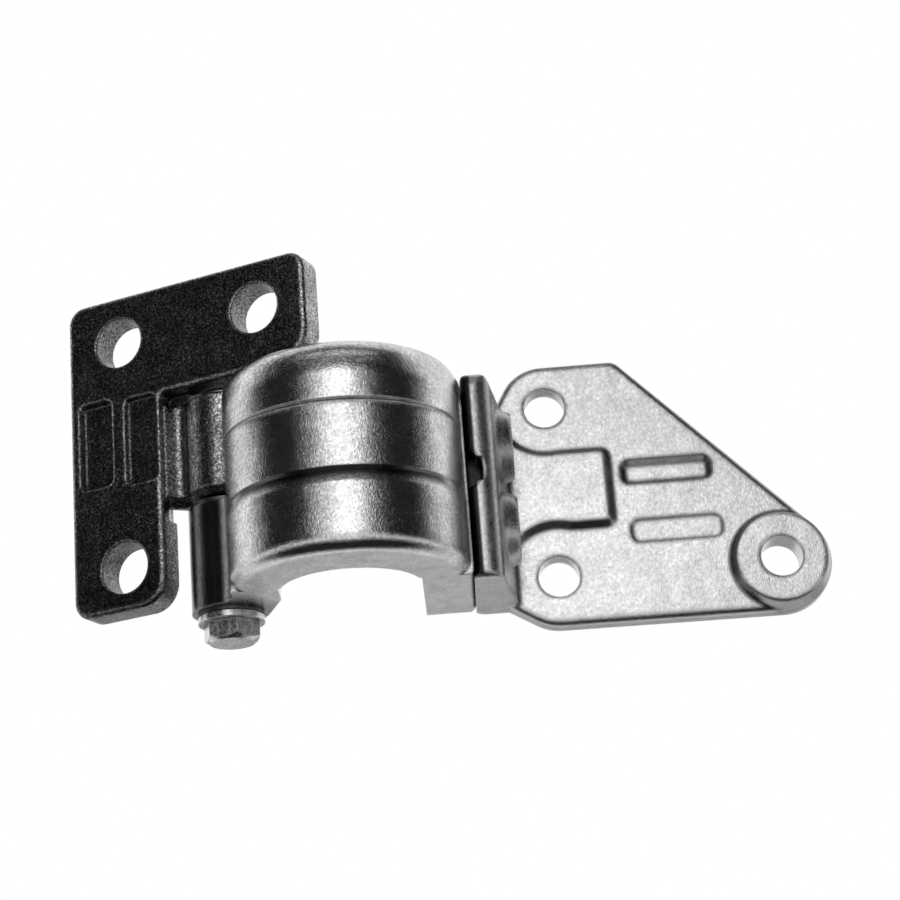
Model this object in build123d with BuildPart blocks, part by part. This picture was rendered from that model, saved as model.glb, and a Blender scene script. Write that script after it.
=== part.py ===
from build123d import *
import os
from math import cos, radians, sin, tan

# Truck door hinge, sizes in millimetres.
# Zero lies on the pillar mounting face, midway between the two left-hand bolt holes.
# X runs along the pillar leaf, Y points into the pillar and Z runs up along the pin.

# Resting position of the door side
rest_angle = 24

# Pin line
pin_offset = 30.5
pin_setback = 3
pin_radius = 8
pin_end_chamfer = 1

# Heights of the two eyes on the pin
eye_base = -56.5
eye_height = 34.2
eye_gap = 2.2
knuckle_height = 34.5

# Pillar leaf plate
plate_thickness = 10.5
plate_left = -19.4
plate_top = 54.7
plate_bottom = -52.8
leg_right = 14.6
lobe_right = 69.5
lobe_bottom = 17.5
plate_corner_radius = 6
foot_corner_radius = 9
lobe_corner_radius = 11
inner_corner_radius = 2.5
front_rounding = 1.8
back_chamfer = 1.4
pillar_bolt_radius = 8.5
pillar_bolt_height = 77
pillar_bolt_width = 51
hole_chamfer = 0.3

# Weight pockets in the pillar leaf
pocket_height = 30
deep_pocket_width = 12.8
deep_pocket_x = -9.4
deep_pocket_middle = 4.8
deep_pocket_depth = 2.4
shallow_pocket_width = 12.4
shallow_pocket_x = 7.6
shallow_pocket_middle = 3.4
shallow_pocket_depth = 1.8
pocket_corner_radius = 2.6
pocket_draft = 24

# Knuckle of the pillar leaf and its web
knuckle_radius = 12
knuckle_foot_chamfer = 3.2
knuckle_top_chamfer = 0.8
web_front = 8.2
web_step = 0.6
web_slope = 59
web_flank = 9
web_back_inset = 2.6
web_depth_in_plate = 5
neck_front = 4
neck_rise = 2.5
neck_gap = 0.4
valley_radius = 3
spot_radius = 18.3
spot_depth = 4.5

# Bushes in the eye of the arm
bush_wall = 1
bush_spacing = 3
bush_flange_radius = 10.5
bush_flange = 1
thrust_clearance = 0.4
running_clearance = 0.05

# Hexagon screws and plain washers
screw_radius = 5
head_across_flats = 16
head_height = 6.4
head_crown_radius = 7
head_crown_angle = 55
head_turn = 10
washer_radius = 10.5
washer_hole_radius = 5.25
washer_thickness = 2
retaining_screw_length = 22
end_play = 0.3
thread_run_out = 2

# Bow of the arm
arm_height = 67
bow_radius = 37
bow_x = 39.2
bow_y = -23.5
bow_inner_radius = 22.1
bow_inner_x = 38.9
bow_inner_y = -17.4
rim_top_radius = 6.5
rim_foot_radius = 4.8
band_depth = 2.4
band_bottom = 26.4
band_top = 47.1
fold_height = 1.5
ramp_depth = 1.2
ramp_height = 4.2

# Legs of the arm
leg_end = 22.6
leg_end_radius = 4
joint_x = 77
leg_foot_radius = 2
eye_radius = 12.3
eye_neck_radius = 8
neck_edge_radius = 3
leg_taper_y = -11.5
knuckle_clearance = 1.2
upper_leg_end = -8

# Joint of arm and door leaf
joint_screw_y = 0
joint_screw_height = 34.5
joint_screw_pitch = 28
joint_screw_length = 26
joint_hole_radius = 5.5
joint_tap_depth = 10

# Door leaf plate
door_front_y = 16
door_thickness = 7.5
door_bolt_radius = 6.75
door_bolt_x = 104.5
door_bolt_low = 8.7
door_bolt_pitch = 58
door_bolt_reach = 71.5
lug_radius = 15
door_low_radius = 16.3
boss_outline_radius = 16.7
top_corner_x = 126.8
top_corner_z = 76.8
top_corner_radius = 5
root_corner_x = 87.5
root_corner_top = 63.3
root_corner_bottom = 2.3
root_corner_radius = 2
door_edge_rounding = 2.2
door_back_chamfer = 0.5

# Boss of the door leaf
boss_height = 4.6
boss_draft = 16
boss_edge_chamfer = 0.5
boss_edge_draft = 45

# Flange of the door leaf
flange_height = 68
flange_front_y = -20
flange_front_x = 86
flange_draft = 8
flange_shoulder_radius = 5
flange_joint_radius = 3.8
flange_top_radius = 5
flange_foot_radius = 2.5
flange_inner_radius = 2.8
flange_outer_radius = 6
scallop_height = 35.3
scallop_radius = 6.2
scallop_reach = 5.3
scallop_depth = 7
screw_boss_x = 92.5
screw_boss_radius = 10.5
screw_boss_draft = 25

# Raised pad between flange and door leaf
pad_start_x = 82
pad_end_x = 124.5
pad_bottom = 23.9
pad_top = 51.5
pad_wing = 9
pad_height = 3
pad_draft = 36
pad_corner_radius = 3.5
upper_seat_radius = 15.4
lower_seat_radius = 16

# Slots in the door leaf
slot_length = 30
slot_corner_radius = 3
upper_slot_x = 142.4
upper_slot_z = 42.4
upper_slot_width = 8.8
upper_slot_depth = 3
upper_slot_draft = 30
lower_slot_x = 144
lower_slot_z = 22.1
lower_slot_width = 8.2
lower_slot_depth = 0.9
lower_slot_draft = 30

# Directions and planes of the two sides
knuckle_base = eye_base + eye_height + eye_gap
knuckle_top = knuckle_base + knuckle_height
neck_reach = pin_offset - pin_radius - neck_gap - leg_right + web_depth_in_plate
door_along = Vector(cos(radians(rest_angle)), sin(radians(rest_angle)), 0)
door_inward = Vector(-sin(radians(rest_angle)), cos(radians(rest_angle)), 0)
pin_foot = Vector(pin_offset, pin_setback, eye_base)
pillar_front = Plane(origin=(0, 0, 0), x_dir=(1, 0, 0), z_dir=(0, -1, 0))
pin_plan = Plane(origin=(pin_offset, pin_setback, 0), x_dir=(1, 0, 0), z_dir=(0, 0, 1))
door_plan = Plane(origin=pin_foot, x_dir=door_along, z_dir=(0, 0, 1))
door_front = Plane(origin=pin_foot, x_dir=door_along, z_dir=-door_inward)
door_end = Plane(origin=pin_foot, x_dir=door_inward, z_dir=door_along)

# Pillar leaf: L-shaped plate, pockets, web and knuckle
with BuildPart() as pillar_leaf:
    with BuildSketch(pillar_front):
        with BuildLine():
            Polyline(
                (plate_left, plate_bottom),
                (leg_right, plate_bottom),
                (leg_right, lobe_bottom),
                (lobe_right, lobe_bottom),
                (lobe_right, plate_top),
                (plate_left, plate_top),
                close=True,
            )
        make_face()
        fillet(vertices().group_by(Axis.X)[0], plate_corner_radius)
        fillet(vertices().sort_by_distance((lobe_right, plate_top))[0], plate_corner_radius)
        fillet(vertices().sort_by_distance((leg_right, plate_bottom))[0], foot_corner_radius)
        fillet(vertices().sort_by_distance((lobe_right, lobe_bottom))[0], lobe_corner_radius)
        fillet(vertices().sort_by_distance((leg_right, lobe_bottom))[0], inner_corner_radius)
    extrude(amount=plate_thickness)
    fillet(faces().sort_by(Axis.Y)[0].edges(), front_rounding)
    chamfer(faces().sort_by(Axis.Y)[-1].edges(), back_chamfer)
    with BuildSketch(pillar_front):
        with Locations(
            (0, pillar_bolt_height / 2),
            (0, -pillar_bolt_height / 2),
            (pillar_bolt_width, pillar_bolt_height / 2),
        ):
            Circle(pillar_bolt_radius)
    extrude(amount=plate_thickness, mode=Mode.SUBTRACT)
    rims = edges().filter_by(GeomType.CIRCLE).filter_by(lambda rim: rim.radius == pillar_bolt_radius)
    chamfer(rims, hole_chamfer)
    with BuildSketch(pillar_front.offset(plate_thickness)):
        with Locations((deep_pocket_x, deep_pocket_middle)):
            RectangleRounded(deep_pocket_width, pocket_height, pocket_corner_radius)
    extrude(amount=-deep_pocket_depth, taper=pocket_draft, mode=Mode.SUBTRACT)
    with BuildSketch(pillar_front.offset(plate_thickness)):
        with Locations((shallow_pocket_x, shallow_pocket_middle)):
            RectangleRounded(shallow_pocket_width, pocket_height, pocket_corner_radius)
    extrude(amount=-shallow_pocket_depth, taper=pocket_draft, mode=Mode.SUBTRACT)
    # Room for the eye of the arm below the knuckle
    with BuildSketch(pin_plan.offset(knuckle_base - spot_depth)):
        Circle(spot_radius)
    extrude(amount=spot_depth, mode=Mode.SUBTRACT)
    # Web and knuckle in plan
    with BuildSketch(Plane.XY.offset(knuckle_base)) as knuckle_plan:
        with Locations((pin_offset, pin_setback)):
            Circle(knuckle_radius)
        with BuildLine():
            knuckle_rim = CenterArc((pin_offset, pin_setback), knuckle_radius, 0, 360, mode=Mode.PRIVATE)
            front_flank = PolarLine((leg_right + web_step, -web_front), web_flank, web_slope)
            Line(front_flank @ 1, (pin_offset, pin_setback))
            back_flank = ConstrainedLines(
                knuckle_rim,
                (leg_right - web_back_inset, 0),
                selector=lambda lines: lines.sort_by(Axis.Y)[-1],
            )
            flank_ends = back_flank.vertices().sort_by_distance((pin_offset, pin_setback))
            Line((pin_offset, pin_setback), flank_ends[0].center())
            Polyline(
                flank_ends[-1].center(),
                (leg_right - web_depth_in_plate, 0),
                (leg_right - web_depth_in_plate, -web_front),
                front_flank @ 0,
            )
        make_face()
        fillet(vertices().sort_by_distance(front_flank @ 0.7)[0], valley_radius)
    extrude(amount=knuckle_height)
    arcs = edges().filter_by(GeomType.CIRCLE).filter_by(lambda arc: arc.radius == knuckle_radius)
    chamfer(arcs.group_by(Axis.Z)[0], knuckle_foot_chamfer)
    arcs = edges().filter_by(GeomType.CIRCLE).filter_by(lambda arc: arc.radius == knuckle_radius)
    chamfer(arcs.group_by(Axis.Z)[-1], knuckle_top_chamfer)
    # Neck that ties the web to the lobe above it
    with BuildSketch(Plane.XY.offset(knuckle_top - neck_rise)):
        add(knuckle_plan.sketch_local)
        with Locations((leg_right - web_depth_in_plate, -neck_front)):
            Rectangle(neck_reach, 2 * knuckle_radius, align=(Align.MIN, Align.MIN), mode=Mode.INTERSECT)
    extrude(amount=lobe_bottom - knuckle_top + 2 * neck_rise)
    with BuildSketch(pin_plan.offset(knuckle_base)):
        Circle(pin_radius)
    extrude(amount=knuckle_height, mode=Mode.SUBTRACT)

# Hinge pin, tapped from below for the retaining screw
pin_bottom = eye_base - bush_flange - end_play
pin_length = lobe_bottom - end_play - pin_bottom
with BuildPart() as hinge_pin:
    with BuildSketch(pin_plan.offset(pin_bottom)):
        Circle(pin_radius)
    extrude(amount=pin_length)
    chamfer(edges().group_by(Axis.Z)[-1], pin_end_chamfer)
    with BuildSketch(pin_plan.offset(pin_bottom)):
        Circle(screw_radius)
    extrude(amount=retaining_screw_length + thread_run_out, mode=Mode.SUBTRACT)

# Flanged bushes, one from below and one from above
bush_radius = pin_radius + bush_wall
bush_bore_radius = pin_radius + running_clearance
bush_length = (eye_height - bush_spacing) / 2
thrust_flange = eye_gap - thrust_clearance
with BuildPart() as lower_bush:
    with BuildSketch(door_plan.offset(-bush_flange)):
        Circle(bush_flange_radius)
    extrude(amount=bush_flange)
    with BuildSketch(door_plan):
        Circle(bush_radius)
    extrude(amount=bush_length)
    with BuildSketch(door_plan.offset(-bush_flange)):
        Circle(bush_bore_radius)
    extrude(amount=bush_flange + bush_length, mode=Mode.SUBTRACT)

with BuildPart() as upper_bush:
    with BuildSketch(door_plan.offset(eye_height)):
        Circle(bush_flange_radius)
    extrude(amount=thrust_flange)
    with BuildSketch(door_plan.offset(eye_height - bush_length)):
        Circle(bush_radius)
    extrude(amount=bush_length)
    with BuildSketch(door_plan.offset(eye_height - bush_length)):
        Circle(bush_bore_radius)
    extrude(amount=thrust_flange + bush_length, mode=Mode.SUBTRACT)

# Washer and screw that hold the eye on the pin
with BuildPart() as retaining_washer:
    with BuildSketch(pin_plan.offset(pin_bottom - washer_thickness)):
        Circle(washer_radius)
        Circle(washer_hole_radius, mode=Mode.SUBTRACT)
    extrude(amount=washer_thickness)

head_seat = pin_bottom - washer_thickness
with BuildPart() as retaining_screw:
    with BuildSketch(pin_plan.offset(head_seat - head_height)):
        RegularPolygon(head_across_flats / 2, 6, major_radius=False, rotation=head_turn)
    extrude(amount=head_height)
    with BuildSketch(pin_plan.offset(head_seat - head_height)):
        Circle(head_crown_radius)
    extrude(amount=head_height, taper=-head_crown_angle, mode=Mode.INTERSECT)
    with BuildSketch(pin_plan.offset(head_seat)):
        Circle(screw_radius)
    extrude(amount=retaining_screw_length)

# Gooseneck arm: bow with a shallow recess, two legs and the eye
bow_left = bow_x - bow_radius
inner_left = bow_inner_x - bow_inner_radius
inner_right = bow_inner_x + bow_inner_radius
with BuildSketch() as bow_plan:
    with BuildLine():
        crest = CenterArc((bow_x, bow_y), bow_radius, 180, 180)
        Polyline(
            crest @ 1,
            (bow_x, bow_y),
            (bow_x, upper_leg_end),
            (bow_left, upper_leg_end),
            crest @ 0,
        )
    make_face()

# Recess round the crest, deepest in the middle, with a fold and a ramp below
ramp_bottom = band_bottom - fold_height - ramp_height
ramp = door_inward * ramp_depth + Vector(0, 0, ramp_height)
fold = door_inward * (band_depth - ramp_depth) + Vector(0, 0, fold_height)
with BuildPart() as recess:
    with BuildSketch(door_plan.offset(ramp_bottom)):
        add(bow_plan.sketch)
    extrude(amount=band_top - ramp_bottom)
    with BuildSketch(door_plan.offset(ramp_bottom)):
        add(bow_plan.sketch)
    extrude(amount=ramp.length, dir=ramp, mode=Mode.SUBTRACT)
    with BuildSketch(door_plan.offset(band_bottom - fold_height)):
        add(bow_plan.sketch.moved(Location((0, ramp_depth, 0))))
    extrude(amount=fold.length, dir=fold, mode=Mode.SUBTRACT)
    with BuildSketch(door_plan.offset(band_bottom)):
        add(bow_plan.sketch.moved(Location((0, band_depth, 0))))
    extrude(amount=band_top - band_bottom, mode=Mode.SUBTRACT)

with BuildPart() as hinge_arm:
    with BuildSketch(door_plan):
        add(bow_plan.sketch)
    extrude(amount=arm_height)
    crest_edges = edges().filter_by(GeomType.CIRCLE).filter_by(lambda edge: edge.radius == bow_radius)
    fillet(crest_edges.sort_by(Axis.Z)[-1], rim_top_radius)
    crest_edges = edges().filter_by(GeomType.CIRCLE).filter_by(lambda edge: edge.radius == bow_radius)
    fillet(crest_edges.sort_by(Axis.Z)[0], rim_foot_radius)
    add(recess.part, mode=Mode.SUBTRACT)
    # Leg on the door side, with the flat face of the joint
    with BuildSketch(door_front.offset(-bow_y)):
        with BuildLine():
            Polyline(
                (inner_right, 0),
                (joint_x, 0),
                (joint_x, arm_height),
                (inner_right, arm_height),
                close=True,
            )
        make_face()
        fillet(vertices().sort_by_distance((joint_x, arm_height))[0], rim_top_radius)
        fillet(vertices().sort_by_distance((joint_x, 0))[0], leg_foot_radius)
    extrude(amount=bow_y - leg_end)
    fillet(edges().filter_by(Axis.Z).group_by(Axis(pin_foot, door_inward))[-1], leg_end_radius)
    # Space inside the bow
    with BuildSketch(door_plan):
        with Locations((bow_inner_x, bow_inner_y)):
            Circle(bow_inner_radius)
        with BuildLine():
            Polyline(
                (inner_left, bow_inner_y),
                (inner_right, bow_inner_y),
                (inner_right, leg_end),
                (inner_left, leg_end),
                close=True,
            )
        make_face()
    extrude(amount=arm_height, mode=Mode.SUBTRACT)
    # Leg on the pin side, above the eye only and clear of the knuckle
    with BuildSketch(door_plan.offset(eye_height)):
        Circle(knuckle_radius + knuckle_clearance)
    extrude(amount=arm_height - eye_height, mode=Mode.SUBTRACT)
    with BuildSketch(door_plan):
        with Locations((bow_left, bow_y)):
            Rectangle(2 * bow_inner_radius, upper_leg_end - bow_y, align=(Align.MIN, Align.MIN))
    extrude(amount=eye_height, mode=Mode.SUBTRACT)
    # Eye and its neck
    with BuildSketch(door_plan):
        Circle(eye_radius)
        with BuildLine():
            eye_rim = CenterArc((0, 0), eye_radius, 0, 360, mode=Mode.PRIVATE)
            neck = ConstrainedLines(
                eye_rim,
                (inner_left, leg_taper_y),
                selector=lambda lines: lines.sort_by(Axis.X)[-1],
            )
            neck_ends = neck.vertices().sort_by_distance((0, 0))
            Polyline(
                neck_ends[0].center(),
                (0, 0),
                (bow_left, 0),
                (bow_left, bow_y),
                (inner_left, bow_y),
                neck_ends[-1].center(),
            )
        make_face()
        fillet(vertices().sort_by_distance((bow_left, -eye_radius))[0], eye_neck_radius)
        fillet(vertices().sort_by_distance((inner_left, leg_taper_y))[0], neck_edge_radius)
    extrude(amount=eye_height)
    with BuildSketch(door_plan):
        Circle(bush_radius)
    extrude(amount=eye_height, mode=Mode.SUBTRACT)
    with BuildSketch(door_end.offset(inner_right)):
        with Locations((joint_screw_y, joint_screw_height)):
            with GridLocations(0, joint_screw_pitch, 1, 2):
                Circle(joint_hole_radius)
    extrude(amount=joint_x - inner_right, mode=Mode.SUBTRACT)

# Screws and washers of the joint, heads inside the bow
joint_seat = inner_right - washer_thickness
with BuildPart() as arm_washers:
    with BuildSketch(door_end.offset(joint_seat)):
        with Locations((joint_screw_y, joint_screw_height)):
            with GridLocations(0, joint_screw_pitch, 1, 2):
                Circle(washer_radius)
                Circle(washer_hole_radius, mode=Mode.SUBTRACT)
    extrude(amount=washer_thickness)

with BuildPart() as arm_screws:
    with BuildSketch(door_end.offset(joint_seat - head_height)):
        with Locations((joint_screw_y, joint_screw_height)):
            with GridLocations(0, joint_screw_pitch, 1, 2):
                RegularPolygon(head_across_flats / 2, 6, major_radius=False)
    extrude(amount=head_height)
    with BuildSketch(door_end.offset(joint_seat - head_height)):
        with Locations((joint_screw_y, joint_screw_height)):
            with GridLocations(0, joint_screw_pitch, 1, 2):
                Circle(head_crown_radius)
    extrude(amount=head_height, taper=-head_crown_angle, mode=Mode.INTERSECT)
    with BuildSketch(door_end.offset(joint_seat)):
        with Locations((joint_screw_y, joint_screw_height)):
            with GridLocations(0, joint_screw_pitch, 1, 2):
                Circle(screw_radius)
    extrude(amount=joint_screw_length)

# Flange of the door leaf: drafted block with soft front edges, screw bosses and a scallop
door_back_y = door_front_y + door_thickness
flange_run = door_inward + door_along * tan(radians(flange_draft))
flange_length = (door_back_y - flange_front_y) * flange_run.length
flange_root_x = flange_front_x + (door_back_y - flange_front_y) * tan(radians(flange_draft))
with BuildPart() as flange:
    with BuildSketch(door_front.offset(-flange_front_y)):
        with BuildLine():
            Polyline(
                (joint_x - flange_root_x + flange_front_x, 0),
                (flange_front_x, 0),
                (flange_front_x, flange_height),
                (joint_x - flange_root_x + flange_front_x, flange_height),
                close=True,
            )
        make_face()
        fillet(vertices().sort_by_distance((flange_front_x, flange_height))[0], flange_shoulder_radius)
    extrude(amount=flange_length, dir=flange_run)
    with BuildSketch(door_plan):
        with BuildLine():
            Polyline(
                (joint_x, flange_front_y),
                (flange_front_x, flange_front_y),
                (flange_root_x, door_back_y),
                (joint_x, door_back_y),
                close=True,
            )
        make_face()
        fillet(vertices().sort_by_distance((joint_x, flange_front_y))[0], flange_inner_radius)
        fillet(vertices().sort_by_distance((flange_front_x, flange_front_y))[0], flange_outer_radius)
        fillet(vertices().sort_by_distance((joint_x, door_back_y))[0], leg_end_radius)
    extrude(amount=flange_height, mode=Mode.INTERSECT)
    with BuildSketch(door_end.offset(joint_x)):
        with BuildLine():
            Polyline(
                (flange_front_y, 0),
                (door_back_y, 0),
                (door_back_y, flange_height),
                (flange_front_y, flange_height),
                close=True,
            )
        make_face()
        fillet(vertices().sort_by_distance((flange_front_y, flange_height))[0], flange_top_radius)
        fillet(vertices().sort_by_distance((flange_front_y, 0))[0], flange_foot_radius)
    extrude(amount=flange_root_x - joint_x, mode=Mode.INTERSECT)
    with BuildSketch(door_front.offset(-flange_front_y)):
        with BuildLine():
            Polyline(
                (joint_x, 0),
                (flange_root_x, 0),
                (flange_root_x, flange_height),
                (joint_x, flange_height),
                close=True,
            )
        make_face()
        fillet(vertices().sort_by_distance((joint_x, flange_height))[0], flange_joint_radius)
    extrude(amount=flange_front_y - door_back_y, mode=Mode.INTERSECT)
    with BuildSketch(door_end.offset(screw_boss_x)):
        with Locations((joint_screw_y, joint_screw_height)):
            with GridLocations(0, joint_screw_pitch, 1, 2):
                Circle(screw_boss_radius)
    extrude(amount=flange_front_x - screw_boss_x, taper=-screw_boss_draft)
    with BuildSketch(door_front.offset(-flange_front_y)):
        with Locations((joint_x + scallop_reach - scallop_radius, scallop_height)):
            Circle(scallop_radius)
    extrude(amount=-scallop_depth, mode=Mode.SUBTRACT)

# Door leaf: plate, boss, pad, slots and flange
door_bolt_high = door_bolt_low + door_bolt_pitch
boss_x = door_bolt_x + door_bolt_reach
boss_rise = door_edge_rounding + boss_height - boss_edge_chamfer
with BuildPart() as door_leaf:
    with BuildSketch(door_front.offset(-door_front_y)):
        with BuildLine():
            CenterArc((door_bolt_x, door_bolt_high), lug_radius, 0, 360)
            CenterArc((top_corner_x, top_corner_z), top_corner_radius, 0, 360)
            CenterArc((root_corner_x, root_corner_top), root_corner_radius, 0, 360)
            CenterArc((root_corner_x, root_corner_bottom), root_corner_radius, 0, 360)
            CenterArc((boss_x, door_bolt_low), boss_outline_radius, 0, 360)
            CenterArc((door_bolt_x, door_bolt_low), door_low_radius, 0, 360)
        make_hull()
    extrude(amount=-door_thickness)
    fillet(faces().sort_by(Axis(pin_foot, -door_inward))[-1].edges(), door_edge_rounding)
    chamfer(faces().sort_by(Axis(pin_foot, door_inward))[-1].edges(), door_back_chamfer)
    with BuildSketch(door_front.offset(-door_front_y - door_edge_rounding)):
        with Locations((boss_x, door_bolt_low)):
            Circle(boss_outline_radius)
    extrude(amount=boss_rise, taper=boss_draft)
    with BuildSketch(door_front.offset(-door_front_y - door_edge_rounding + boss_rise)):
        with Locations((boss_x, door_bolt_low)):
            Circle(boss_outline_radius - boss_rise * tan(radians(boss_draft)))
    extrude(amount=boss_edge_chamfer, taper=boss_edge_draft)
    add(flange.part)
    with BuildSketch(door_front.offset(-door_front_y)):
        with BuildLine():
            Polyline(
                (pad_start_x, pad_bottom),
                (pad_end_x, pad_bottom),
                (pad_end_x, pad_top),
                (pad_start_x, pad_top),
                close=True,
            )
        make_face()
        fillet(vertices().group_by(Axis.X)[-1], pad_corner_radius)
        with Locations(((pad_start_x + door_bolt_x) / 2, (pad_bottom + pad_top) / 2)):
            Rectangle(door_bolt_x - pad_start_x, pad_top - pad_bottom + 2 * pad_wing)
        with Locations((door_bolt_x, door_bolt_low)):
            Circle(lower_seat_radius, mode=Mode.SUBTRACT)
        with Locations((door_bolt_x, door_bolt_high)):
            Circle(upper_seat_radius, mode=Mode.SUBTRACT)
    extrude(amount=pad_height, taper=pad_draft)
    with BuildSketch(door_front.offset(-door_front_y)):
        with Locations((upper_slot_x, upper_slot_z)):
            RectangleRounded(slot_length, upper_slot_width, slot_corner_radius)
    extrude(amount=-upper_slot_depth, taper=upper_slot_draft, mode=Mode.SUBTRACT)
    with BuildSketch(door_front.offset(-door_front_y)):
        with Locations((lower_slot_x, lower_slot_z)):
            RectangleRounded(slot_length, lower_slot_width, slot_corner_radius)
    extrude(amount=-lower_slot_depth, taper=lower_slot_draft, mode=Mode.SUBTRACT)
    with BuildSketch(door_front.offset(-door_back_y)):
        with Locations(
            (door_bolt_x, door_bolt_low),
            (door_bolt_x, door_bolt_high),
            (boss_x, door_bolt_low),
        ):
            Circle(door_bolt_radius)
    extrude(amount=door_thickness + boss_height, mode=Mode.SUBTRACT)
    with BuildSketch(door_end.offset(joint_x)):
        with Locations((joint_screw_y, joint_screw_height)):
            with GridLocations(0, joint_screw_pitch, 1, 2):
                Circle(screw_radius)
    extrude(amount=joint_tap_depth, mode=Mode.SUBTRACT)

# Labels and files
os.makedirs("parts", exist_ok=True)
pillar_leaf.part.label = "pillar_leaf"
export_step(pillar_leaf.part, "parts/pillar_leaf.step")
hinge_pin.part.label = "hinge_pin"
export_step(hinge_pin.part, "parts/hinge_pin.step")
lower_bush.part.label = "lower_bush"
export_step(lower_bush.part, "parts/lower_bush.step")
upper_bush.part.label = "upper_bush"
export_step(upper_bush.part, "parts/upper_bush.step")
retaining_washer.part.label = "retaining_washer"
export_step(retaining_washer.part, "parts/retaining_washer.step")
retaining_screw.part.label = "retaining_screw"
export_step(retaining_screw.part, "parts/retaining_screw.step")
hinge_arm.part.label = "hinge_arm"
export_step(hinge_arm.part, "parts/hinge_arm.step")
arm_washers.part.label = "arm_washers"
export_step(arm_washers.part, "parts/arm_washers.step")
arm_screws.part.label = "arm_screws"
export_step(arm_screws.part, "parts/arm_screws.step")
door_leaf.part.label = "door_leaf"
export_step(door_leaf.part, "parts/door_leaf.step")
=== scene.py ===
from math import radians
import bpy
import bmesh
from mathutils import Matrix, Vector

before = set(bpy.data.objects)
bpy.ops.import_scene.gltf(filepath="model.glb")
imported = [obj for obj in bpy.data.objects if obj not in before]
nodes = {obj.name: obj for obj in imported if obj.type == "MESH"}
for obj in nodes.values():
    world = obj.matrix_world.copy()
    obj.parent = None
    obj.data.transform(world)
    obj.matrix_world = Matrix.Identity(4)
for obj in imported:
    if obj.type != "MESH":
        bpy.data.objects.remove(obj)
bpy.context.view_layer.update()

# Camera, found from the holes and edges of the photograph
cameraView = {
    "spot": (0.39247, -0.63175, -0.2650),
    "yaw": 24.0,
    "pitch": 109.5,
    "roll": -4.4,
    "lens": 96.0,
    "sensor": 36.0,
    "nearest": 0.01,
    "furthest": 20.0,
}


def makeCamera(values):
    data = bpy.data.cameras.new("photoCamera")
    data.lens = values["lens"]
    data.sensor_width = values["sensor"]
    data.clip_start = values["nearest"]
    data.clip_end = values["furthest"]
    camera = bpy.data.objects.new("photoCamera", data)
    turn = Matrix.Rotation(radians(values["yaw"]), 4, "Z")
    turn = turn @ Matrix.Rotation(radians(values["pitch"]), 4, "X")
    turn = turn @ Matrix.Rotation(radians(values["roll"]), 4, "Z")
    camera.matrix_world = Matrix.Translation(values["spot"]) @ turn
    bpy.context.collection.objects.link(camera)
    bpy.context.scene.camera = camera


makeCamera(cameraView)
print("camera set")

# Plain studio: pale floor, white surroundings and dark cloths that only the metal mirrors.
# Places are given from the middle of the hinge, with y away from the camera.
studio = {
    "middle": (0.07, 0.0, -0.02),
    "turn": 24.0,
    "roomGrey": 0.9,
    "backdropGrey": 1.0,
    "floorDrop": 0.58,
    "floorSize": 16.0,
    "floorGrey": 0.88,
    "floorRoughness": 0.9,
    "clothRoughness": 1.0,
    "clothGloss": 0.0,
    "lampSpot": (-0.15, -0.95, 0.95),
    "lampSize": (0.5, 0.5),
    "lampPower": 3.0,
    "panelSpot": (0.06, -1.1, 0.5),
    "panelSize": (0.3, 0.62),
    "panelPower": 0.85,
}
cloths = {
    "clothLeft": {"spot": (-0.6, -0.66, 0.62), "size": (1.36, 1.5), "turn": (90, 0, 90), "grey": 0.02},
    "clothRight": {"spot": (0.6, -0.66, 0.62), "size": (1.36, 1.5), "turn": (90, 0, 90), "grey": 0.02},
    "clothFold": {"spot": (0.0, -0.68, 0.78), "size": (1.2, 0.56), "turn": (0, 0, 0), "grey": 0.02},
    "clothAbove": {"spot": (0.0, -0.02, 0.8), "size": (1.2, 0.36), "turn": (0, 0, 0), "grey": 0.02},
    "clothBelow": {"spot": (0.0, -0.22, -0.45), "size": (1.5, 0.84), "turn": (0, 0, 0), "grey": 0.02},
    "clothBehind": {"spot": (0.0, 1.2, -0.42), "size": (2.4, 0.5), "turn": (90, 0, 0), "grey": 0.34},
}


def studioPlace(spot, turn=(0, 0, 0)):
    place = Matrix.Translation(studio["middle"]) @ Matrix.Rotation(radians(studio["turn"]), 4, "Z")
    place = place @ Matrix.Translation(spot)
    for axis, degrees in zip("ZYX", reversed(turn)):
        place = place @ Matrix.Rotation(radians(degrees), 4, axis)
    return place


def makeSheet(name, place, size, material):
    mesh = bpy.data.meshes.new(name)
    form = bmesh.new()
    bmesh.ops.create_grid(form, x_segments=1, y_segments=1, size=0.5)  # one metre square
    bmesh.ops.scale(form, vec=(size[0], size[1], 1.0), verts=form.verts)
    bmesh.ops.transform(form, matrix=place, verts=form.verts)
    form.to_mesh(mesh)
    form.free()
    sheet = bpy.data.objects.new(name, mesh)
    mesh.materials.append(material)
    bpy.context.collection.objects.link(sheet)
    return sheet


def plainMaterial(name, grey, roughness):
    material = bpy.data.materials.new(name)
    material.use_nodes = True
    shader = material.node_tree.nodes["Principled BSDF"]
    shader.inputs["Base Color"].default_value = (grey, grey, grey, 1.0)
    shader.inputs["Roughness"].default_value = roughness
    return material


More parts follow.
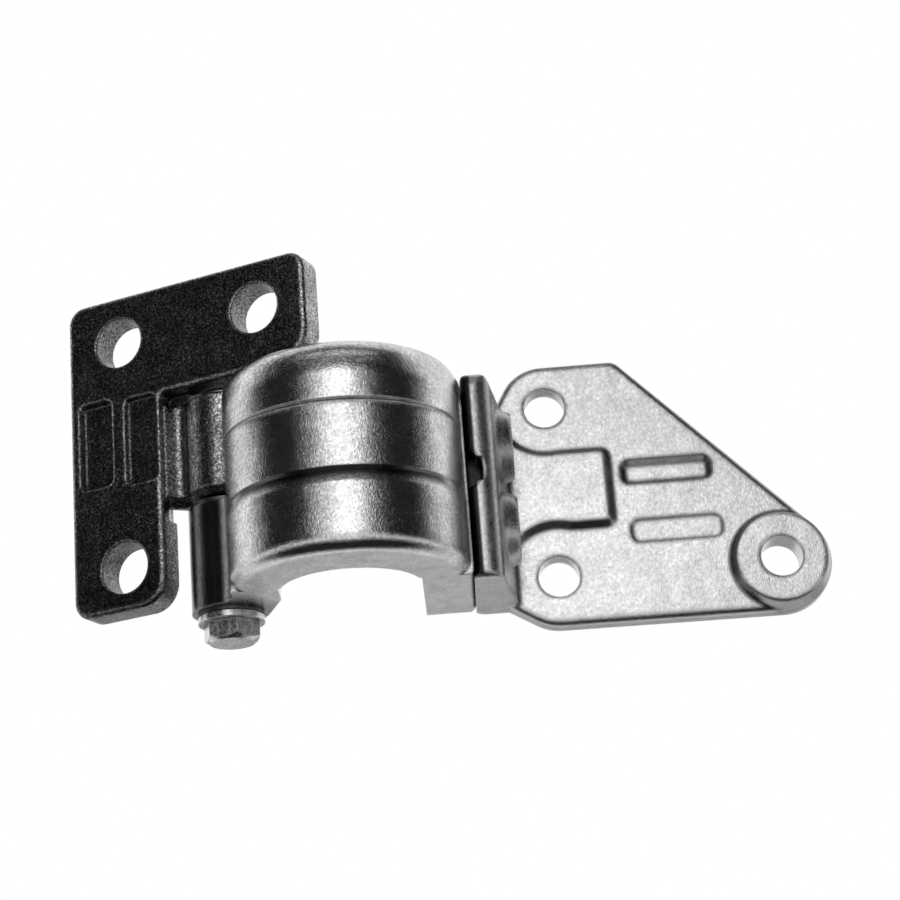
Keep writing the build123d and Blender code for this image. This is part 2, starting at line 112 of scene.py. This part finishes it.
def makeWorld(values):
    world = bpy.data.worlds.new("studio")
    bpy.context.scene.world = world
    world.use_nodes = True
    tree = world.node_tree
    tree.nodes.clear()
    output = tree.nodes.new("ShaderNodeOutputWorld")
    mix = tree.nodes.new("ShaderNodeMixShader")
    path = tree.nodes.new("ShaderNodeLightPath")
    seenOrMirrored = tree.nodes.new("ShaderNodeMath")
    seenOrMirrored.operation = "MAXIMUM"
    anyBackdrop = tree.nodes.new("ShaderNodeMath")
    anyBackdrop.operation = "MAXIMUM"
    room = tree.nodes.new("ShaderNodeBackground")
    roomGrey = values["roomGrey"]
    room.inputs["Color"].default_value = (roomGrey, roomGrey, roomGrey, 1.0)
    backdrop = tree.nodes.new("ShaderNodeBackground")
    backdropGrey = values["backdropGrey"]
    backdrop.inputs["Color"].default_value = (backdropGrey, backdropGrey, backdropGrey, 1.0)
    tree.links.new(path.outputs["Is Camera Ray"], seenOrMirrored.inputs[0])
    tree.links.new(path.outputs["Is Glossy Ray"], seenOrMirrored.inputs[1])
    tree.links.new(seenOrMirrored.outputs[0], anyBackdrop.inputs[0])
    tree.links.new(path.outputs["Is Transmission Ray"], anyBackdrop.inputs[1])
    tree.links.new(anyBackdrop.outputs[0], mix.inputs["Fac"])
    tree.links.new(room.outputs["Background"], mix.inputs[1])
    tree.links.new(backdrop.outputs["Background"], mix.inputs[2])
    tree.links.new(mix.outputs["Shader"], output.inputs["Surface"])


def makeLamp(name, spot, size, power):
    data = bpy.data.lights.new(name, "AREA")
    data.shape = "RECTANGLE"
    data.size = size[0]
    data.size_y = size[1]
    data.energy = power
    lamp = bpy.data.objects.new(name, data)
    stand = studioPlace(spot).translation
    aim = Vector(studio["middle"]) - stand
    lamp.matrix_world = Matrix.Translation(stand) @ aim.to_track_quat("-Z", "Y").to_matrix().to_4x4()
    bpy.context.collection.objects.link(lamp)
    return lamp


bpy.context.scene.view_settings.view_transform = "Standard"
makeWorld(studio)
softLamp = makeLamp("softLamp", studio["lampSpot"], studio["lampSize"], studio["lampPower"])
softLamp.visible_glossy = False
makeLamp("softPanel", studio["panelSpot"], studio["panelSize"], studio["panelPower"])  # the bright stripe
floorMaterial = plainMaterial("paleFloor", studio["floorGrey"], studio["floorRoughness"])
floorSize = (studio["floorSize"], studio["floorSize"])
makeSheet("floor", studioPlace((0, 0, -studio["floorDrop"])), floorSize, floorMaterial)
for name, cloth in cloths.items():
    clothMaterial = plainMaterial(name, cloth["grey"], studio["clothRoughness"])
    clothShader = clothMaterial.node_tree.nodes["Principled BSDF"]
    clothShader.inputs["Specular IOR Level"].default_value = studio["clothGloss"]
    sheet = makeSheet(name, studioPlace(cloth["spot"], cloth["turn"]), cloth["size"], clothMaterial)
    sheet.visible_camera = False
    sheet.visible_diffuse = False
    sheet.visible_shadow = False
print("studio made")


# Plated steel: fine grain and specks, slow waves, painted shade in corners and softened edges.
# What all pieces share is here, and each piece has its own look below.
plating = {
    "grainDetail": 3.0, "grainRoughness": 0.6,
    "speckDetail": 2.0, "speckRoughness": 0.5,
    "waveDetail": 2.0, "waveRoughness": 0.5,
    "tintDetail": 4.0, "tintRoughness": 0.6,
    "cloudScale": 130.0, "cloudDetail": 3.0, "cloudRoughness": 0.55,
    "cloudSpan": (0.35, 0.65),
    "cornerSamples": 6, "cornerSpan": (0.55, 0.94),
    "glossSpan": (0.3, 0.7),
    "edgeSamples": 6,
}
upwards = (0, 0, 1)


def forgedSteel(name, look):
    material = bpy.data.materials.new(name)
    material.use_nodes = True
    tree = material.node_tree
    nodesHere = tree.nodes
    link = tree.links.new
    shader = nodesHere["Principled BSDF"]
    shader.inputs["Metallic"].default_value = 1.0
    place = nodesHere.new("ShaderNodeTexCoord").outputs["Object"]

    def noise(scale, detail, roughness):
        pattern = nodesHere.new("ShaderNodeTexNoise")
        pattern.inputs["Scale"].default_value = scale
        pattern.inputs["Detail"].default_value = detail
        pattern.inputs["Roughness"].default_value = roughness
        link(place, pattern.inputs["Vector"])
        return pattern.outputs["Fac"]

    def remap(value, span, start, end):
        fit = nodesHere.new("ShaderNodeMapRange")
        fit.interpolation_type = "SMOOTHSTEP"
        fit.inputs["From Min"].default_value = span[0]
        fit.inputs["From Max"].default_value = span[1]
        fit.inputs["To Min"].default_value = start
        fit.inputs["To Max"].default_value = end
        link(value, fit.inputs["Value"])
        return fit.outputs["Result"]

    def bump(height, depth, normal):
        relief = nodesHere.new("ShaderNodeBump")
        relief.inputs["Distance"].default_value = depth
        relief.inputs["Strength"].default_value = 1.0
        link(height, relief.inputs["Height"])
        link(normal, relief.inputs["Normal"])
        return relief.outputs["Normal"]

    def combine(operation, *values):
        joined = values[0]
        for value in values[1:]:
            step = nodesHere.new("ShaderNodeMath")
            step.operation = operation
            link(joined, step.inputs[0])
            link(value, step.inputs[1])
            joined = step.outputs[0]
        return joined

    def reach(direction):  # how far a point lies along a direction
        measure = nodesHere.new("ShaderNodeVectorMath")
        measure.operation = "DOT_PRODUCT"
        link(place, measure.inputs[0])
        measure.inputs[1].default_value = direction
        return measure.outputs["Value"]

    def around(point, axis):  # how far a point lies from an axis
        offset = nodesHere.new("ShaderNodeVectorMath")
        offset.operation = "SUBTRACT"
        link(place, offset.inputs[0])
        offset.inputs[1].default_value = point
        onAxis = nodesHere.new("ShaderNodeVectorMath")
        onAxis.operation = "PROJECT"
        link(offset.outputs["Vector"], onAxis.inputs[0])
        onAxis.inputs[1].default_value = axis
        spoke = nodesHere.new("ShaderNodeVectorMath")
        spoke.operation = "DISTANCE"
        link(offset.outputs["Vector"], spoke.inputs[0])
        link(onAxis.outputs["Vector"], spoke.inputs[1])
        return spoke.outputs["Value"]

    grain = noise(look["grainScale"], plating["grainDetail"], plating["grainRoughness"])
    specks = noise(look["speckScale"], plating["speckDetail"], plating["speckRoughness"])
    waves = noise(look["waveScale"], plating["waveDetail"], plating["waveRoughness"])
    tint = noise(look["tintScale"], plating["tintDetail"], plating["tintRoughness"])
    cloud = noise(plating["cloudScale"], plating["cloudDetail"], plating["cloudRoughness"])

    # Colour: mottled plating, clouded, with painted shade darkening the corners and the places that the
    # look's shade marks give
    ramp = nodesHere.new("ShaderNodeValToRGB")
    ramp.color_ramp.elements[0].position = look["darkBelow"]
    ramp.color_ramp.elements[0].color = (*look["dark"], 1.0)
    ramp.color_ramp.elements[1].position = look["lightAbove"]
    ramp.color_ramp.elements[1].color = (*look["light"], 1.0)
    link(tint, ramp.inputs["Fac"])
    # Painted shade: the colour is darkened wherever ambient occlusion finds a corner or crease
    corner = nodesHere.new("ShaderNodeAmbientOcclusion")
    corner.samples = plating["cornerSamples"]
    corner.inputs["Distance"].default_value = look["paintedShadeReach"]
    paintedShadeAndTone = remap(corner.outputs["AO"], plating["cornerSpan"], look["paintedShadeAndTone"], 1.0)
    paintedShadeAndTone = combine("MULTIPLY", paintedShadeAndTone, remap(cloud, plating["cloudSpan"], look["cloud"], 1.0))
    if "shadeMarks" in look:
        paintedShadeAndTone = combine("MULTIPLY", paintedShadeAndTone, look["shadeMarks"](remap, combine, reach, around))
    dirtied = nodesHere.new("ShaderNodeVectorMath")
    dirtied.operation = "SCALE"
    link(ramp.outputs["Color"], dirtied.inputs[0])
    link(paintedShadeAndTone, dirtied.inputs["Scale"])
    link(dirtied.outputs["Vector"], shader.inputs["Base Color"])

    # Roughness follows the specks
    gloss = remap(specks, plating["glossSpan"], look["smooth"], look["rough"])
    if "dull" in look:
        gloss = combine("ADD", gloss, look["dull"](remap, combine, reach))
    link(gloss, shader.inputs["Roughness"])

    # Relief: softened edges, then waves, crown, grain and specks
    edges = nodesHere.new("ShaderNodeBevel")
    edges.samples = plating["edgeSamples"]
    edges.inputs["Radius"].default_value = look["edgeRadius"]
    relief = bump(waves, look["waveDepth"], edges.outputs["Normal"])
    if "crown" in look:
        rise = remap(reach(upwards), look["crown"]["span"], 1.0, 0.0)
        relief = bump(rise, look["crown"]["depth"], relief)
    relief = bump(grain, look["grainDepth"], relief)
    relief = bump(specks, look["speckDepth"], relief)
    link(relief, shader.inputs["Normal"])
    return material


# The door side's own directions at rest: along its leaf, and in towards the door
doorAlong = (0.9135455, 0.4067366, 0.0)
doorInward = (-0.4067366, 0.9135455, 0.0)

# Painted shade inside and round the bolt holes in the pillar leaf, and a leaf that is darker towards its
# foot
boreShadePlaces = {
    "upper": (0.0, 0.0, 0.0385),
    "lower": (0.0, 0.0, -0.0385),
    "outer": (0.051, 0.0, 0.0385),
    "axis": (0, 1, 0),
    "rim": (0.0084, 0.0088),
    "shade": 0.5,
    "footSpan": (-0.0600, -0.0100),
    "footShade": 0.5,
}


def boreShadeAndDarkerFoot(remap, combine, reach, around):
    bores = [
        remap(around(boreShadePlaces[bore], boreShadePlaces["axis"]), boreShadePlaces["rim"], boreShadePlaces["shade"], 1.0)
        for bore in ("upper", "lower", "outer")
    ]
    foot = remap(reach(upwards), boreShadePlaces["footSpan"], boreShadePlaces["footShade"], 1.0)
    return combine("MULTIPLY", combine("MINIMUM", *bores), foot)


# Painted shadow: a black fold at the foot of the arm's recess, only on its front, and painted shade
# darkening the eye round the pin
foldShadowPlaces = {
    "top": (-0.0304, -0.0297),
    "foot": (-0.0364, -0.0314),
    "back": (-0.0560, -0.0470),
    "shade": 0.06,
    "pin": (0.0305, 0.003, 0.0),
    "eyeSpan": (0.0125, 0.0230),
    "eyeShade": 0.35,
}


def foldShadowAndEyeShade(remap, combine, reach, around):
    above = remap(reach(upwards), foldShadowPlaces["top"], 0.0, 1.0)
    below = remap(reach(upwards), foldShadowPlaces["foot"], 1.0, 0.0)
    behind = remap(reach(doorInward), foldShadowPlaces["back"], 0.0, 1.0)
    unshaded = combine("MAXIMUM", above, below, behind)
    eye = remap(around(foldShadowPlaces["pin"], upwards), foldShadowPlaces["eyeSpan"], foldShadowPlaces["eyeShade"], 1.0)
    return combine("MULTIPLY", remap(unshaded, (0.0, 1.0), foldShadowPlaces["shade"], 1.0), eye)


# Painted shade: a dark seam where the flange meets the arm, wider round the scallop, and a dark rim round
# the boss.
# The leaf is lighter lower down.
seamShadePlaces = {
    "edge": (0.1086, 0.1100),
    "scallopTop": (-0.0176, -0.0166),
    "scallopFoot": (-0.0258, -0.0248),
    "scallopEdge": (0.1110, 0.1120),
    "back": (-0.0130, -0.0110),
    "underside": (-0.0562, -0.0550),
    "shade": 0.05,
    "boss": (0.19128, 0.07459, -0.0478),
    "bossInner": (0.0140, 0.0150),
    "bossOuter": (0.0166, 0.0176),
    "bossBack": (0.0100, 0.0120),
    "bossShade": 0.55,
    "leafSpan": (-0.0500, 0.0150),
    "leafShade": 0.78,
}


def seamAndBossShade(remap, combine, reach, around):
    beside = remap(reach(doorAlong), seamShadePlaces["edge"], 0.0, 1.0)
    higher = remap(reach(upwards), seamShadePlaces["scallopTop"], 0.0, 1.0)
    lower = remap(reach(upwards), seamShadePlaces["scallopFoot"], 1.0, 0.0)
    further = remap(reach(doorAlong), seamShadePlaces["scallopEdge"], 0.0, 1.0)
    offSeam = combine("MINIMUM", beside, combine("MAXIMUM", higher, lower, further))
    behind = remap(reach(doorInward), seamShadePlaces["back"], 0.0, 1.0)
    beneath = remap(reach(upwards), seamShadePlaces["underside"], 1.0, 0.0)
    offSeam = combine("MAXIMUM", offSeam, behind, beneath)
    inner = remap(around(seamShadePlaces["boss"], doorInward), seamShadePlaces["bossInner"], 1.0, 0.0)
    outer = remap(around(seamShadePlaces["boss"], doorInward), seamShadePlaces["bossOuter"], 0.0, 1.0)
    back = remap(reach(doorInward), seamShadePlaces["bossBack"], 0.0, 1.0)
    offRim = combine("MAXIMUM", inner, outer, back)
    unshaded = combine("MULTIPLY", offSeam, remap(offRim, (0.0, 1.0), seamShadePlaces["bossShade"], 1.0))
    lighter = remap(reach(upwards), seamShadePlaces["leafSpan"], 1.0, seamShadePlaces["leafShade"])
    return combine("MULTIPLY", remap(unshaded, (0.0, 1.0), seamShadePlaces["shade"], 1.0), lighter)


# The flange is duller than the leaf that it stands on
flangeWear = {
    "side": (0.1190, 0.1230),
    "root": (-0.0010, 0.0040),
    "duller": 0.12,
}


def flangeDull(remap, combine, reach):
    beyond = remap(reach(doorAlong), flangeWear["side"], 0.0, 1.0)
    behind = remap(reach(doorInward), flangeWear["root"], 0.0, 1.0)
    return remap(combine("MAXIMUM", beyond, behind), (0.0, 1.0), flangeWear["duller"], 0.0)


# The pillar leaf is the same plating with a darker mottle: the mottle is its own, the extra darkness is
# painted shade
pillarLook = {
    "dark": (0.14, 0.14, 0.15), "light": (0.88, 0.88, 0.89),
    "tintScale": 1250.0, "darkBelow": 0.42, "lightAbove": 0.72,
    "paintedShadeReach": 0.004, "paintedShadeAndTone": 0.2, "cloud": 0.7,
    "smooth": 0.12, "rough": 0.26, "edgeRadius": 0.0012,
    "grainScale": 1900.0, "grainDepth": 0.00014,
    "speckScale": 900.0, "speckDepth": 0.00005,
    "waveScale": 70.0, "waveDepth": 0.0005,
    "shadeMarks": boreShadeAndDarkerFoot,
}
armLook = {
    "dark": (0.52, 0.52, 0.53), "light": (0.88, 0.88, 0.89),
    "tintScale": 1100.0, "darkBelow": 0.32, "lightAbove": 0.66,
    "paintedShadeReach": 0.003, "paintedShadeAndTone": 0.8, "cloud": 0.8,
    "smooth": 0.08, "rough": 0.16, "edgeRadius": 0.0010,
    "grainScale": 2100.0, "grainDepth": 0.0001,
    "speckScale": 1000.0, "speckDepth": 0.00004,
    "waveScale": 60.0, "waveDepth": 0.0003,
    "crown": {"span": (-0.0020, 0.0110), "depth": 0.00265},
    "shadeMarks": foldShadowAndEyeShade,
}
doorLook = {
    "dark": (0.50, 0.50, 0.51), "light": (0.64, 0.64, 0.65),
    "tintScale": 900.0, "darkBelow": 0.3, "lightAbove": 0.66,
    "paintedShadeReach": 0.0022, "paintedShadeAndTone": 0.5, "cloud": 0.9,
    "smooth": 0.14, "rough": 0.26, "edgeRadius": 0.0023,
    "grainScale": 1900.0, "grainDepth": 0.00008,
    "speckScale": 800.0, "speckDepth": 0.00004,
    "waveScale": 60.0, "waveDepth": 0.0004,
    "shadeMarks": seamAndBossShade, "dull": flangeDull,
}
screwLook = {
    "dark": (0.60, 0.60, 0.61), "light": (0.80, 0.80, 0.80),
    "tintScale": 700.0, "darkBelow": 0.32, "lightAbove": 0.66,
    "paintedShadeReach": 0.003, "paintedShadeAndTone": 0.5, "cloud": 0.8,
    "smooth": 0.2, "rough": 0.36, "edgeRadius": 0.0003,
    "grainScale": 2500.0, "grainDepth": 0.00003,
    "speckScale": 900.0, "speckDepth": 0.00003,
    "waveScale": 150.0, "waveDepth": 0.0002,
}
# The bushes are steel whose dark colour is partly their own and partly painted shade for the shadow under
# the arm
bushLook = {
    "dark": (0.16, 0.16, 0.16), "light": (0.30, 0.30, 0.31),
    "tintScale": 700.0, "darkBelow": 0.32, "lightAbove": 0.66,
    "paintedShadeReach": 0.002, "paintedShadeAndTone": 0.4, "cloud": 0.8,
    "smooth": 0.25, "rough": 0.4, "edgeRadius": 0.0002,
    "grainScale": 2500.0, "grainDepth": 0.00002,
    "speckScale": 900.0, "speckDepth": 0.00002,
    "waveScale": 150.0, "waveDepth": 0.0001,
}


def dress(material, *names):
    for name in names:
        for slot in nodes[name].material_slots:
            slot.link = "OBJECT"
            slot.material = material


dress(forgedSteel("pillarPlating", pillarLook), "pillar_leaf")
dress(forgedSteel("armPlating", armLook), "hinge_arm")
dress(forgedSteel("doorPlating", doorLook), "door_leaf")
screwPlating = forgedSteel("screwPlating", screwLook)
dress(screwPlating, "retaining_screw", "retaining_washer", "arm_screws", "arm_washers", "hinge_pin")
dress(forgedSteel("bushSteel", bushLook), "upper_bush", "lower_bush")
print("steel dressed")
